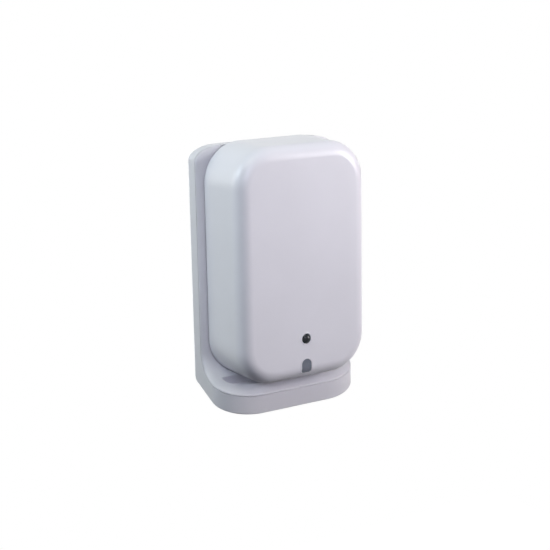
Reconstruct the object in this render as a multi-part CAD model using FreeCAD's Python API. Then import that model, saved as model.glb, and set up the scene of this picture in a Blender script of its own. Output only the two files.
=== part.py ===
import FreeCAD, Part
import math
import os

V = FreeCAD.Vector

# Lengths are in millimetres. X is the width, Y the depth with the wall at 0 and the front at
# minus, Z the height. The origin is on the wall face, level with the middle of the sensor body.

# Sensor body
body_width = 56.9
body_height = 90.0
body_depth = 24.4
body_corner = 15.2
body_draft = 0.3
front_round = 5.2
shell_wall = 2.0

# Wall bracket, an L of a plate and a sloping foot
side_margin = 2.9
plate_below_top = 1.2
plate_corner_width = 11.5
plate_corner_high = 5.5
side_depth = 5.1
face_crown = 1.4
rim_drop = 0.8
rim_run = 1.9
rim_outer_round = 0.8
rim_inner_round = 7.0
rear_round = 0.4
foot_reach = 23.4
foot_front = 7.2
foot_pitch = 24.8
foot_corner_width = 16.5
foot_corner_deep = 10.2
foot_below_body = 12.8
elbow_outer = 3.0
elbow_inner = 12.0
tray_wall = 2.0
cover_skin = 2.2

# Trough in the top of the foot under the sensor, steep at its back and sloping at its sides and front
recess_deep = 3.0
recess_back = 12.6
recess_margin = 4.8
recess_run = 3.2
recess_wall = 1.2

# Running gaps and fits
body_gap = 0.45
nest_gap = 0.2
slide_gap = 0.3
fit_gap = 0.1
insert_gap = 0.05
seam_gap = 0.3

# Rear cover of the sensor
panel_recess = 0.35
panel_thick = 1.8
panel_land = 1.0
pocket_wall = 1.2

# Plug bay in the sensor's back, and the window and groove for the cable in the bracket
bay_width = 15.6
bay_depth = 10.8
bay_high = 27.6
bay_rise = 7.0
window_margin = 1.2
groove_width = 6.0
tunnel_wall = 1.5

# Hook on the bracket and the keyhole pocket that drops over it
hook_rise = 22.4
hook_height = 10.0
hook_stem = 8.0
hook_head = 14.0
hook_thick = 1.5
keyhole_depth = 4.4

# Fixings
wall_hole_spacing = 38.0
wall_hole_radius = 2.1
wall_sink_radius = 4.0
wall_boss_wall = 2.0
cover_screw_inset = 7.5
cover_screw_drop = 9.9
cover_screw_rise = 9.0
cover_screw_length = 4.2
case_screw_length = 8.0
main_screw_length = 5.5
radar_screw_length = 3.9
screw_head = 1.9
screw_head_high = 1.0
board_head_high = 1.2
screw_shank = 0.9
screw_tip_gap = 0.5
post_inset = 8.1
post_radius = 3.0
boss_radius = 2.4
boss_floor = 1.0
cross_width = 0.45
cross_length = 2.3
cross_depth = 0.5

# Pads
pad_thick = 0.8
pad_corner = 2.0
upper_pad_side = 11.5
upper_pad_drop = 4.5
upper_pad_high = 15.0
side_pad_width = 11.0
side_pad_high = 22.0
side_pad_rise = 4.0
side_pad_gap = 2.0
foot_pad_thick = 1.0
foot_pad_proud = 0.3
foot_pad_inset = 3.5
foot_pad_back = 7.0

# Main board, with its screws, notch and square-pinned header
board_gap_side = 1.0
main_standoff = 7.0
main_thick = 1.6
main_screw_inset = 3.65
main_screw_drop = 21.0
notch_rise = 1.5
pin_pitch = 2.0
pin_columns = 5
pin_rows = 2
pin_width = 0.5
pin_reach = 5.9
header_high = 2.5
header_margin = 0.6
header_z = 2.0

# Radar board and its screws
radar_standoff = 3.4
radar_thick = 1.0
radar_width = 31.0
radar_corner = 1.0
radar_top_gap = 13.0
radar_low_gap = 4.0
radar_screw_side = 3.0
radar_screw_drop = 4.0
radar_screw_rise = 23.0

# Light sensor dome and status window in the front
lens_rise = 16.2
lens_diameter = 3.9
lens_dome = 1.1
lens_flange = 3.2
lens_flange_thick = 0.8
window_rise = 2.8
window_high = 5.5
window_width = 4.3
window_foot_corner = 1.1
window_length = 3.6
seal_wall = 2.0

# Reset button and its switch
button_side = 11.15
button_rise = 27.0
button_radius = 3.0
button_flange = 4.0
button_flange_thick = 0.8
button_stem = 1.5
button_sunk = 0.2
button_travel = 0.5
switch_size = 4.6
switch_high = 1.9
switch_proud = 1.1
plunger_radius = 1.1

# Charging inlet
usb_width = 8.94
usb_high = 3.26
usb_length = 7.35
usb_skin = 0.3
usb_proud = 0.2
usb_back = 1.4
tongue_width = 6.7
tongue_thick = 0.7
tongue_sunk = 0.9

# Wireless module and its shielding can
module_width = 18.0
module_high = 25.5
module_drop = 5.5
module_thick = 0.8
can_margin = 1.1
can_high = 17.0
can_rise = 2.4
can_skin = 0.25

# Small parts on the radar board
radar_chip_size = 9.0
radar_chip_thick = 0.85
radar_chip_z = 7.0
patch_size = 2.6
patch_thick = 0.1
patch_pitch = 4.0
patch_low = 18.0
patch_step = 4.5
patch_columns = 4
patch_rows = 2
sensor_chip_width = 2.4
sensor_chip_high = 2.0
sensor_chip_thick = 0.7
led_width = 3.2
led_high = 2.8
led_thick = 0.9
memory_width = 5.0
memory_high = 6.0
memory_thick = 1.0
memory_x = -7.0
memory_z = -12.0
crystal_width = 3.2
crystal_high = 2.5
crystal_thick = 0.8
crystal_x = 7.0
crystal_z = 12.0

# Small parts on the main board
power_x = -17.0
inductor_size = 6.0
inductor_thick = 3.2
inductor_z = -1.0
regulator_width = 5.0
regulator_high = 4.0
regulator_thick = 1.5
regulator_z = -10.5
can_capacitor_radius = 2.5
can_capacitor_high = 5.2
can_capacitor_z = 8.0
can_capacitor_pitch = 7.0
chip_capacitor_width = 2.0
chip_capacitor_high = 1.2
chip_capacitor_x = 11.0
chip_capacitor_z = -7.0
chip_capacitor_pitch = 3.0

# How far cutting blocks run: just past a face, well past the bracket, and past everything
over = 1.0
past = 20.0
far = 200.0
tiny = 0.001

# Places worked out from the sizes above
body_low = -body_height / 2
bracket_width = body_width + 2 * side_margin
plate_top = body_height / 2 - plate_below_top
foot_low = body_low - foot_below_body
slope = math.tan(math.radians(foot_pitch))
lean = math.cos(math.radians(foot_pitch))
foot_top = foot_low + foot_front + slope * foot_reach
plate_face = -(side_depth + face_crown)
rim_y = plate_face - body_gap
front_y = rim_y - body_depth
inner_front_y = front_y + shell_wall
draft_rate = body_draft / body_depth
panel_out_y = rim_y - panel_recess
panel_in_y = panel_out_y - panel_thick
main_rear_y = panel_in_y - main_standoff
main_front_y = main_rear_y - main_thick
radar_front_y = inner_front_y + radar_standoff
radar_rear_y = radar_front_y + radar_thick
radar_top = body_height / 2 - radar_top_gap
radar_low = body_low + radar_low_gap
bay_low = body_low + bay_rise
bay_top = bay_low + bay_high
bay_floor_y = panel_out_y - bay_depth
keyhole_floor_y = panel_out_y - keyhole_depth
hook_low = bay_top + hook_rise
hook_top = hook_low + hook_height
lift_travel = hook_height + slide_gap
skin_y = plate_face + cover_skin
inner_drop = cover_skin - face_crown
lens_z = body_low + lens_rise
window_low = body_low + window_rise
window_top = window_low + window_high
button_x = body_width / 2 - button_side
button_z = body_low + button_rise
button_head_y = panel_out_y - button_sunk
button_flange_y = panel_in_y - slide_gap
switch_top_y = main_rear_y + switch_high
plunger_top_y = switch_top_y + switch_proud
usb_y = main_rear_y + usb_high / 2
usb_low = bay_top - usb_proud
usb_top = usb_low + usb_length
module_low = body_height / 2 - shell_wall - board_gap_side - module_drop - module_high


def box(low, high):
    """Block between two opposite corners."""
    size = V(*high) - V(*low)
    return Part.makeBox(size.x, size.y, size.z, V(*low))


def rod_y(x, z, start, end, radius):
    """Cylinder along Y between two depths."""
    low = min(start, end)
    return Part.makeCylinder(radius, abs(end - start), V(x, low, z), V(0, 1, 0))


def arc_edge(start, middle, end, to_space):
    """Circular arc through three points."""
    return Part.Arc(to_space(start), to_space(middle), to_space(end)).toShape()


def ellipse_edge(start, corner, end, to_space):
    """Quarter of an ellipse that runs into the two sides of a square corner."""
    curve = Part.BezierCurve()
    curve.setPoles([to_space(start), to_space(corner), to_space(end)])
    curve.setWeight(2, math.sqrt(0.5))
    return curve.toShape()


def rounded_wire(corners, to_space):
    """Closed wire through corners (a, b, radius), each rounded by its own radius.

    A square corner may be given as (a, b, before, after) instead, for a quarter of an ellipse that
    takes up these lengths of the sides before and after the corner.
    """
    count = len(corners)
    bends = []
    for i, (a, b, *runs) in enumerate(corners):
        here = V(a, b, 0)
        before = V(*corners[i - 1][:2], 0) - here
        after = V(*corners[(i + 1) % count][:2], 0) - here
        half = before.getAngle(after) / 2
        before.normalize()
        after.normalize()
        if len(runs) == 2:
            start = here + before * runs[0]
            end = here + after * runs[1]
            bends.append((start, end, ellipse_edge(start, here, end, to_space)))
        elif runs[0] > 0:
            start = here + before * (runs[0] / math.tan(half))
            end = here + after * (runs[0] / math.tan(half))
            inward = before + after
            inward.normalize()
            middle = here + inward * (runs[0] / math.sin(half) - runs[0])
            bends.append((start, end, arc_edge(start, middle, end, to_space)))
        else:
            bends.append((here, here, None))
    edges = []
    for i, (start, end, bend) in enumerate(bends):
        if bend:
            edges.append(bend)
        following = bends[(i + 1) % count][0]
        if following.distanceToPoint(end) > tiny:
            edges.append(Part.LineSegment(to_space(end), to_space(following)).toShape())
    return Part.Wire(edges)


def rectangle(width, low, high, radius):
    """Corners of a rectangle centred across, between two heights, all with one radius."""
    half = width / 2
    return [(-half, low, radius), (half, low, radius), (half, high, radius), (-half, high, radius)]


def front_wire(corners, y):
    """Wire from corners given as (x, z, radius) at one depth."""
    return rounded_wire(corners, lambda p: V(p.x, y, p.y))


def slab(corners, start, end):
    """Prism along Y from corners given as (x, z, radius)."""
    low = min(start, end)
    return Part.Face(front_wire(corners, low)).extrude(V(0, abs(end - start), 0))


def place_all(shape, places):
    """Copies of one shape at several (x, z) places."""
    copies = []
    for x, z in places:
        copy = shape.copy()
        copy.translate(V(x, 0, z))
        copies.append(copy)
    return copies


def four(x, top, bottom):
    """The four (x, z) places of a pattern that is alike on the left and the right."""
    return [(side * x, z) for side in (-1, 1) for z in (top, bottom)]


def row(count, pitch):
    """Evenly spaced places about zero."""
    return [(i - (count - 1) / 2) * pitch for i in range(count)]


# Where the fixings lie, as (x, z) from the front
post_places = four(body_width / 2 - post_inset, body_height / 2 - post_inset, body_low + post_inset)
main_screw_x = body_width / 2 - shell_wall - board_gap_side - main_screw_inset
main_screw_z = body_height / 2 - main_screw_drop
main_screw_places = four(main_screw_x, main_screw_z, -main_screw_z)
radar_screw_x = radar_width / 2 - radar_screw_side
radar_screw_places = four(radar_screw_x, radar_top - radar_screw_drop, radar_low + radar_screw_rise)
cover_screw_x = bracket_width / 2 - cover_screw_inset
cover_screw_top = plate_top - cover_screw_drop
cover_screw_low = body_low + cover_screw_rise
cover_screw_places = four(cover_screw_x, cover_screw_top, cover_screw_low)
wall_holes = [(-wall_hole_spacing / 2, 0), (wall_hole_spacing / 2, 0)]
pin_places = [(x, header_z + z) for x in row(pin_columns, pin_pitch) for z in row(pin_rows, pin_pitch)]


def screw(outward, head_high, length):
    """Cross-headed screw on the Y axis: the head's underside is at 0 and outward is +1 or -1."""
    head = rod_y(0, 0, 0, outward * head_high, screw_head)
    shank = rod_y(0, 0, 0, -outward * length, screw_shank)
    start = outward * (head_high - cross_depth)
    end = outward * (head_high + over)
    low, high = min(start, end), max(start, end)
    reach = cross_length / 2
    wide = box((-reach, low, -cross_width / 2), (reach, high, cross_width / 2))
    tall = box((-cross_width / 2, low, -reach), (cross_width / 2, high, reach))
    return head.fuse(shank).cut(wide.fuse(tall))


def screws(places, seat, outward, head_high, length):
    """Group of like screws whose heads sit at one depth."""
    one = screw(outward, head_high, length)
    one.translate(V(0, seat, 0))
    return Part.makeCompound(place_all(one, places))


def pins(places, start, end, radius):
    """Cylinders along Y at several places, joined into one shape for cutting."""
    rods = [rod_y(x, z, start, end, radius) for x, z in places]
    return rods[0].multiFuse(rods[1:])


# Sensor body forms

def body_outline(inset, y):
    """Rounded outline of the body at one depth, drawn in by the draft towards the front."""
    shrink = inset + draft_rate * (rim_y - y)
    high = body_height / 2 - shrink
    corners = rectangle(body_width - 2 * shrink, -high, high, body_corner - shrink)
    return front_wire(corners, y)


def body_form(inset, rear):
    """Solid form of the body, drawn in by inset at its sides and front, back to a given depth."""
    front = front_y + inset
    form = Part.makeLoft([body_outline(inset, rear), body_outline(inset, front)], True, True)
    rim = [e for e in form.Edges if all(abs(v.Point.y - front) < tiny for v in e.Vertexes)]
    return form.makeFillet(front_round - inset, rim)


def body_corners(inset):
    """Corners of the body's rear outline, drawn in by inset, or grown where it is negative."""
    high = body_height / 2 - inset
    return rectangle(body_width - 2 * inset, -high, high, body_corner - inset)


def window_pill(gap):
    """Prism of the status window, round at its top, that runs onto the body's lower rounded edge."""
    half = window_width / 2 + gap
    low = window_low - gap
    top = window_top + gap
    foot = window_foot_corner
    corners = [(-half, low, foot), (half, low, foot), (half, top, half - tiny), (-half, top, half - tiny)]
    return slab(corners, front_y - over, front_y + window_length)


def front_cover():
    """Deep front shell with the case screw posts and the bosses of the radar board."""
    shell = body_form(0, rim_y).cut(body_form(shell_wall, rim_y + over))
    embed = inner_front_y - shell_wall / 4
    shell = shell.fuse(pins(post_places, embed, panel_in_y, post_radius))
    shell = shell.fuse(pins(radar_screw_places, embed, radar_front_y, boss_radius))
    shell = shell.cut(slab(body_corners(panel_land), panel_in_y, rim_y + over))
    pilot = screw_shank + insert_gap
    pilot_end = panel_out_y - screw_head_high - case_screw_length - screw_tip_gap
    shell = shell.cut(pins(post_places, panel_in_y, pilot_end, pilot))
    shell = shell.cut(pins(radar_screw_places, radar_front_y, inner_front_y, pilot))
    lens_hole = rod_y(0, lens_z, front_y - over, inner_front_y + over, lens_diameter / 2 + insert_gap)
    return shell.cut(lens_hole).cut(window_pill(insert_gap)).removeSplitter()


def rear_cover():
    """Flat rear panel with the plug bay, the keyhole pocket, the board bosses and the button hole."""
    panel = slab(body_corners(panel_land + fit_gap), panel_in_y, panel_out_y)
    half_bay = bay_width / 2
    half_key = hook_head / 2 + slide_gap
    half_stem = hook_stem / 2 + slide_gap
    key_top = hook_top + slide_gap
    key_low = hook_low - lift_travel - slide_gap
    wall = pocket_wall
    bay = box((-half_bay - wall, bay_floor_y - wall, bay_low - wall),
              (half_bay + wall, panel_in_y, bay_top + wall))
    keyhole = box((-half_key - wall, keyhole_floor_y - wall, key_low - wall),
                  (half_key + wall, panel_in_y, key_top + wall))
    bosses = pins(main_screw_places, panel_in_y, main_rear_y, boss_radius)
    panel = panel.multiFuse([bay, keyhole, bosses])
    cuts = [
        box((-half_bay, bay_floor_y, bay_low), (half_bay, rim_y, bay_top)),
        box((-half_key, keyhole_floor_y, key_low), (half_key, panel_in_y, key_top)),
        box((-half_key, keyhole_floor_y, key_low), (half_key, rim_y, hook_low - slide_gap)),
        box((-half_stem, keyhole_floor_y, key_low), (half_stem, rim_y, key_top)),
        usb_form(-fit_gap, bay_top - over, bay_top + wall + over),
        rod_y(button_x, button_z, panel_in_y - over, rim_y, button_radius + 2 * fit_gap),
        pins(main_screw_places, main_rear_y, panel_in_y - boss_floor, screw_shank + insert_gap),
        pins(post_places, panel_in_y - over, rim_y, screw_shank + 2 * fit_gap),
        pins(post_places, panel_out_y - screw_head_high, rim_y, screw_head + 2 * fit_gap),
    ]
    for cut in cuts:
        panel = panel.cut(cut)
    return panel.removeSplitter()


# Lights in the front

def light_sensor_lens():
    """Dark dome with a straight neck through the front wall and a flange behind it."""
    radius = lens_diameter / 2
    ball = (radius ** 2 + lens_dome ** 2) / (2 * lens_dome)
    dome = Part.makeSphere(ball, V(0, front_y - lens_dome + ball, lens_z))
    dome = dome.common(rod_y(0, lens_z, front_y - lens_dome - over, front_y, radius))
    neck = rod_y(0, lens_z, front_y, inner_front_y, radius)
    flange = rod_y(0, lens_z, inner_front_y, inner_front_y + lens_flange_thick, lens_flange)
    return dome.multiFuse([neck, flange]).removeSplitter()


def status_window():
    """Grey light guide, flush with the front and its lower rounded edge."""
    return body_form(0, rim_y).common(window_pill(0))


def seal_slot():
    """Room through the foam for the status window and the light behind it."""
    width = window_width + 2 * fit_gap
    corners = rectangle(width, window_low - far, window_top + fit_gap, 0)
    return slab(corners, front_y - over, radar_front_y + over)


def light_seal():
    """Black foam block that keeps the status light away from the light sensor."""
    side = lens_flange + seal_wall
    block = box((-side, inner_front_y - over, radar_low), (side, radar_front_y, lens_z + side))
    block = block.common(body_form(shell_wall + insert_gap, rim_y))
    block = block.cut(rod_y(0, lens_z, front_y, radar_front_y + over, lens_flange + insert_gap))
    return block.cut(seal_slot())


# Boards and what they carry

def on_board(seat, outward, x, z, width, high, thick):
    """Block-shaped part on a board's face at one depth: outward is -1 to the front, +1 to the rear."""
    start = min(seat, seat + outward * thick)
    low = (x - width / 2, start, z - high / 2)
    return box(low, (x + width / 2, start + thick, z + high / 2))


def radar_board():
    """Front circuit board, fastened to the bosses of the front cover."""
    board = slab(rectangle(radar_width, radar_low, radar_top, radar_corner), radar_front_y, radar_rear_y)
    holes = pins(radar_screw_places, radar_front_y - over, radar_rear_y + over, screw_shank + fit_gap)
    return board.cut(holes)


def antenna_patches():
    """Thin copper aerials printed on the front above the radar chip."""
    patch = on_board(radar_front_y, -1, 0, 0, patch_size, patch_size, patch_thick)
    heights = [patch_low + i * patch_step for i in range(patch_rows)]
    places = [(x, z) for x in row(patch_columns, patch_pitch) for z in heights]
    return Part.makeCompound(place_all(patch, places))


def main_board():
    """Rear circuit board, cut away round the plug bay and the case screw posts."""
    board = slab(body_corners(shell_wall + board_gap_side), main_front_y, main_rear_y)
    notch = bay_width / 2 + pocket_wall + slide_gap
    start = main_front_y - over
    end = main_rear_y + over
    board = board.cut(box((-notch, start, -far), (notch, end, bay_top + notch_rise)))
    board = board.cut(pins(post_places, start, end, post_radius + slide_gap))
    return board.cut(pins(main_screw_places, start, end, screw_shank + fit_gap))


def wireless_module():
    """Small radio board on the front side of the main board, aerial end up."""
    low = (-module_width / 2, main_front_y - module_thick, module_low)
    return box(low, (module_width / 2, main_front_y, module_low + module_high))


def module_shield():
    """Pressed metal can over the radio chip, open towards its board."""
    half = module_width / 2 - can_margin
    seat = main_front_y - module_thick
    low = module_low + can_margin
    can = box((-half, seat - can_rise, low), (half, seat, low + can_high))
    room = box((-half + can_skin, seat - can_rise + can_skin, low + can_skin),
               (half - can_skin, seat + over, low + can_high - can_skin))
    return can.cut(room)


def header_pins(grow):
    """Square pins that join the two boards."""
    half = pin_width / 2 + grow
    pin = box((-half, main_front_y - pin_reach - grow, -half), (half, main_front_y, half))
    return Part.makeCompound(place_all(pin, pin_places))


def header_block(start, end):
    """Moulded block round the pins between two depths."""
    width = (pin_columns * pin_pitch + header_margin) / 2
    high = (pin_rows * pin_pitch + header_margin) / 2
    block = box((-width, min(start, end), header_z - high), (width, max(start, end), header_z + high))
    return block.cut(header_pins(insert_gap))


def usb_form(inset, low, high):
    """Flat tube section of the inlet, with round sides, between two heights."""
    half_width = usb_width / 2 - inset
    half_high = usb_high / 2 - inset
    radius = half_high - tiny
    corners = [(-half_width, usb_y - half_high, radius), (half_width, usb_y - half_high, radius),
               (half_width, usb_y + half_high, radius), (-half_width, usb_y + half_high, radius)]
    wire = rounded_wire(corners, lambda p: V(p.x, p.y, low))
    return Part.Face(wire).extrude(V(0, 0, high - low))


def usb_shell():
    """Metal shell of the inlet, open downwards into the plug bay."""
    return usb_form(0, usb_low, usb_top).cut(usb_form(usb_skin, usb_low - over, usb_top + over))


def usb_insert():
    """Black tongue and back block inside the inlet."""
    back = usb_form(usb_skin + insert_gap, usb_top - usb_back, usb_top)
    tongue = box((-tongue_width / 2, usb_y - tongue_thick / 2, usb_low + tongue_sunk),
                 (tongue_width / 2, usb_y + tongue_thick / 2, usb_top - usb_back))
    return back.fuse(tongue).removeSplitter()


def radar_board_parts():
    """Plain parts on the radar board, by node name: front ones face the window and the lens."""
    def front(z, width, high, thick):
        return on_board(radar_front_y, -1, 0, z, width, high, thick)

    led_z = (window_top + window_low) / 2
    return {
        "radar_chip": front(radar_chip_z, radar_chip_size, radar_chip_size, radar_chip_thick),
        "light_sensor_chip": front(lens_z, sensor_chip_width, sensor_chip_high, sensor_chip_thick),
        "status_led": front(led_z, led_width, led_high, led_thick),
        "memory_chip": on_board(radar_rear_y, 1, memory_x, memory_z, memory_width, memory_high,
                                memory_thick),
        "crystal": on_board(radar_rear_y, 1, crystal_x, crystal_z, crystal_width, crystal_high,
                            crystal_thick),
    }


def main_board_parts():
    """Plain parts of the power supply on the rear of the main board, by node name."""
    def rear(x, z, width, high, thick):
        return on_board(main_rear_y, 1, x, z, width, high, thick)

    can = rod_y(0, 0, main_rear_y, main_rear_y + can_capacitor_high, can_capacitor_radius)
    cans = [(power_x, can_capacitor_z), (power_x, can_capacitor_z + can_capacitor_pitch)]
    small = rear(0, 0, chip_capacitor_width, chip_capacitor_high, chip_capacitor_high)
    smalls = four(chip_capacitor_x, chip_capacitor_z, chip_capacitor_z + chip_capacitor_pitch)
    return {
        "power_inductor": rear(power_x, inductor_z, inductor_size, inductor_size, inductor_thick),
        "voltage_regulator": rear(power_x, regulator_z, regulator_width, regulator_high,
                                  regulator_thick),
        "power_capacitors": Part.makeCompound(place_all(can, cans)),
        "ceramic_capacitors": Part.makeCompound(place_all(small, smalls)),
    }


# Reset button

def reset_button():
    """Cap in the rear cover's hole, with a retaining flange and a stem down to the switch."""
    cap = rod_y(button_x, button_z, button_flange_y, button_head_y, button_radius)
    flange_end = button_flange_y - button_flange_thick
    flange = rod_y(button_x, button_z, flange_end, button_flange_y, button_flange)
    stem = rod_y(button_x, button_z, plunger_top_y, flange_end, button_stem)
    return cap.multiFuse([flange, stem]).removeSplitter()


def switch_plunger():
    """Sprung plunger that the button pushes into the switch."""
    floor = main_rear_y + slide_gap + button_travel + insert_gap
    return rod_y(button_x, button_z, floor, plunger_top_y, plunger_radius)


def button_switch():
    """Tactile switch on the main board, bored for its plunger."""
    body = on_board(main_rear_y, 1, button_x, button_z, switch_size, switch_size, switch_high)
    floor = main_rear_y + slide_gap
    return body.cut(rod_y(button_x, button_z, floor, switch_top_y + over, plunger_radius + fit_gap))


# Bracket forms

def side_corners(crown, floor):
    """Side outline of the L as (y, z, radius): crown moves the front faces, floor the rear ones."""
    front = -(side_depth + crown)
    end = -foot_reach - past
    under = foot_low + slope * foot_reach + floor / lean
    top = foot_top + crown / lean
    return [
        (-floor, far, 0),
        (-floor, under - slope * floor, max(elbow_outer - floor, seam_gap)),
        (end, under + slope * end, 0),
        (end, top + slope * end, 0),
        (front, top + slope * front, elbow_inner - crown),
        (front, far, 0),
    ]


def foot_corners(half, front, back, shrink):
    """Plan outline of the foot, with its wide front corners made smaller by shrink."""
    across = foot_corner_width - shrink
    along = foot_corner_deep - shrink
    return [(-half, back, 0), (-half, front, along, across), (half, front, across, along), (half, back, 0)]


def plan_prism(inset):
    """Upright prism of the bracket's outline from above, with the foot's round front corners."""
    corners = foot_corners(bracket_width / 2 - inset, inset - foot_reach, far, inset)
    wire = rounded_wire(corners, lambda p: V(p.x, p.y, -far))
    return Part.Face(wire).extrude(V(0, 0, 2 * far))


def l_form(crown, inset, floor):
    """The L-shaped form, with its front faces moved by crown and its outline drawn in by inset."""
    half = bracket_width / 2 + over
    wire = rounded_wire(side_corners(crown, floor), lambda p: V(-half, p.x, p.y))
    form = Part.Face(wire).extrude(V(2 * half, 0, 0))
    high = plate_corner_high - inset
    across = plate_corner_width - inset
    top = plate_top - inset
    side = bracket_width / 2 - inset
    outline = [(-side, -far, 0), (side, -far, 0), (side, top, high, across), (-side, top, across, high)]
    return form.common(slab(outline, -far, far)).common(plan_prism(inset))


def faces_on(form, line):
    """Faces of the L whose side view lies on a line of corners."""
    side_view = rounded_wire(line, lambda p: V(0, p.x, p.y))
    faces = []
    for face in form.Faces:
        u0, u1, v0, v1 = face.ParameterRange
        point = face.valueAt((u0 + u1) / 2, (v0 + v1) / 2)
        if Part.Vertex(V(0, point.y, point.z)).distToShape(side_view)[0] < tiny:
            faces.append(face)
    return faces


def among(thing, others):
    """Whether an edge or face is one of the others."""
    return any(thing.isSame(other) for other in others)


def outer_edges(faces):
    """Edges that belong to only one of the faces."""
    edges = [edge for face in faces for edge in face.Edges]
    return [edge for edge in edges if sum(edge.isSame(other) for other in edges) == 1]


def soft_front(form, crown):
    """Ease the rim of the plate's front and the foot's top: a wide flat bevel with both edges round."""
    line = side_corners(crown, 0)[3:] + [(-far, far, 0)]
    form = form.makeChamfer(rim_drop, rim_run, outer_edges(faces_on(form, line)))
    front = faces_on(form, line)
    inner = outer_edges(front)
    bevel = [f for f in form.Faces if any(among(e, inner) for e in f.Edges) and not among(f, front)]
    outer = [edge for edge in outer_edges(bevel) if not among(edge, inner)]
    form = form.makeFillet(rim_outer_round, outer)
    return form.makeFillet(rim_inner_round, outer_edges(faces_on(form, line)))


def soft_rear(form):
    """Round the rim of the wall face and the foot's underside."""
    line = side_corners(0, 0)[:3] + [(far, -far, 0)]
    return form.makeFillet(rear_round, outer_edges(faces_on(form, line)))


def nest_room(grow, rear):
    """Room for the sensor body in front of a depth, grown all round."""
    return slab(body_corners(-grow), -far, rear)


def plate_window(grow):
    """Window through the plate for the plug and the cable's bend."""
    half = bay_width / 2 + window_margin + grow
    return box((-half, -past, bay_low - grow), (half, past, bay_top + 2 * window_margin + grow))


def foot_recess(wall):
    """Trough in the foot's top, square to that sloping face, or the larger form that adds its wall."""
    top = foot_top + face_crown / lean
    turn = slope * lean

    def level(rise, grow):
        half = bracket_width / 2 - recess_margin + grow
        front = -(foot_reach - recess_margin) / lean - grow
        corners = foot_corners(half, front, past, recess_margin - grow)
        return rounded_wire(
            corners, lambda p: V(p.x, p.y * lean - rise * turn, top + p.y * turn + rise * lean))

    low = level(-recess_deep - wall, wall - recess_run)
    high = level(recess_deep, wall + recess_run)
    tool = Part.makeLoft([low, high], True, True)
    return tool.common(box((-far, -far, -far), (far, wall - recess_back, far)))


def hook():
    """T-shaped hook that the sensor's keyhole pocket drops over."""
    head_y = panel_in_y - slide_gap
    stem = box((-hook_stem / 2, head_y - hook_thick, hook_low), (hook_stem / 2, skin_y, hook_top))
    head = box((-hook_head / 2, head_y - hook_thick, hook_low), (hook_head / 2, head_y, hook_top))
    return stem.fuse(head)


def bracket_cover():
    """Front moulding of the bracket: the rounded face, the nest for the sensor and the hook."""
    fit = tray_wall + fit_gap
    crown = soft_front(l_form(face_crown, 0, 0), face_crown)
    crown = crown.cut(l_form(seam_gap, -over, -past))
    inside = l_form(seam_gap, fit, fit)
    skin = inside.cut(l_form(-inner_drop, -over, -past))
    dish = inside.common(nest_room(nest_gap + cover_skin, skin_y))
    basin = inside.common(foot_recess(recess_wall))
    cover = crown.multiFuse([skin, dish, basin]).cut(foot_recess(0))
    bosses = pins(cover_screw_places, -fit, -side_depth - inner_drop / 2, boss_radius)
    cover = cover.fuse(bosses)
    cover = cover.cut(nest_room(nest_gap, plate_face))
    cover = cover.cut(plate_window(0))
    sink = wall_sink_radius - wall_hole_radius
    for x, z in wall_holes:
        cover = cover.cut(rod_y(x, z, -past, 0, wall_hole_radius))
        point = V(x, plate_face + sink, z)
        cover = cover.cut(Part.makeCone(wall_hole_radius, wall_sink_radius, sink, point, V(0, -1, 0)))
    pilot_end = -(screw_head_high + cover_screw_length + screw_tip_gap)
    pilots = pins(cover_screw_places, 0, pilot_end, screw_shank + insert_gap)
    return cover.cut(pilots).fuse(hook()).removeSplitter()


def bracket_base():
    """Rear tray of the bracket, against the wall, with its bosses, tunnel and cable groove."""
    form = l_form(0, 0, 0)
    tray = soft_rear(form).cut(l_form(elbow_inner / 2, tray_wall, tray_wall))
    boss = wall_hole_radius + wall_boss_wall
    reach = skin_y + fit_gap / 2
    tray = tray.fuse(pins(wall_holes, -tray_wall / 2, reach, boss))
    tunnel = plate_window(tunnel_wall).common(box((-far, reach, -far), (far, 0, far)))
    tray = tray.fuse(tunnel.common(form))
    cheek = groove_width / 2 + tunnel_wall
    channel = box((-cheek, reach, -far), (cheek, 0, bay_low)).common(form)
    tray = tray.fuse(channel.cut(nest_room(nest_gap + cover_skin + fit_gap, skin_y + fit_gap)))
    tray = tray.cut(plate_window(0))
    groove = box((-groove_width / 2, reach - over, -far), (groove_width / 2, over, bay_low + over))
    tray = tray.cut(groove)
    for x, z in wall_holes:
        tray = tray.cut(rod_y(x, z, -past, over, wall_hole_radius))
    tray = tray.cut(pins(cover_screw_places, -past, over, screw_shank + 2 * fit_gap))
    tray = tray.cut(pins(cover_screw_places, -screw_head_high, over, screw_head + 2 * fit_gap))
    tray = tray.cut(adhesive_pads(fit_gap))
    return tray.cut(foot_pad_band(insert_gap)).removeSplitter()


def pad(x, low, width, high, grow):
    """One adhesive strip with round corners, from its middle line and its lower edge."""
    corners = rectangle(width + 2 * grow, low - grow, low + high + grow, pad_corner)
    strip = slab(corners, -pad_thick, 0)
    strip.translate(V(x, 0, 0))
    return strip


def adhesive_pads(grow):
    """Foam adhesive strips pressed flat into recesses of the wall face."""
    upper_width = bracket_width - 2 * upper_pad_side
    upper_low = cover_screw_top - upper_pad_drop - upper_pad_high
    side_x = bay_width / 2 + window_margin + tunnel_wall + side_pad_gap + side_pad_width / 2
    side_low = cover_screw_low + side_pad_rise
    pads = [pad(0, upper_low, upper_width, upper_pad_high, grow)]
    for x in (-side_x, side_x):
        pads.append(pad(x, side_low, side_pad_width, side_pad_high, grow))
    return Part.makeCompound(pads)


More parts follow.
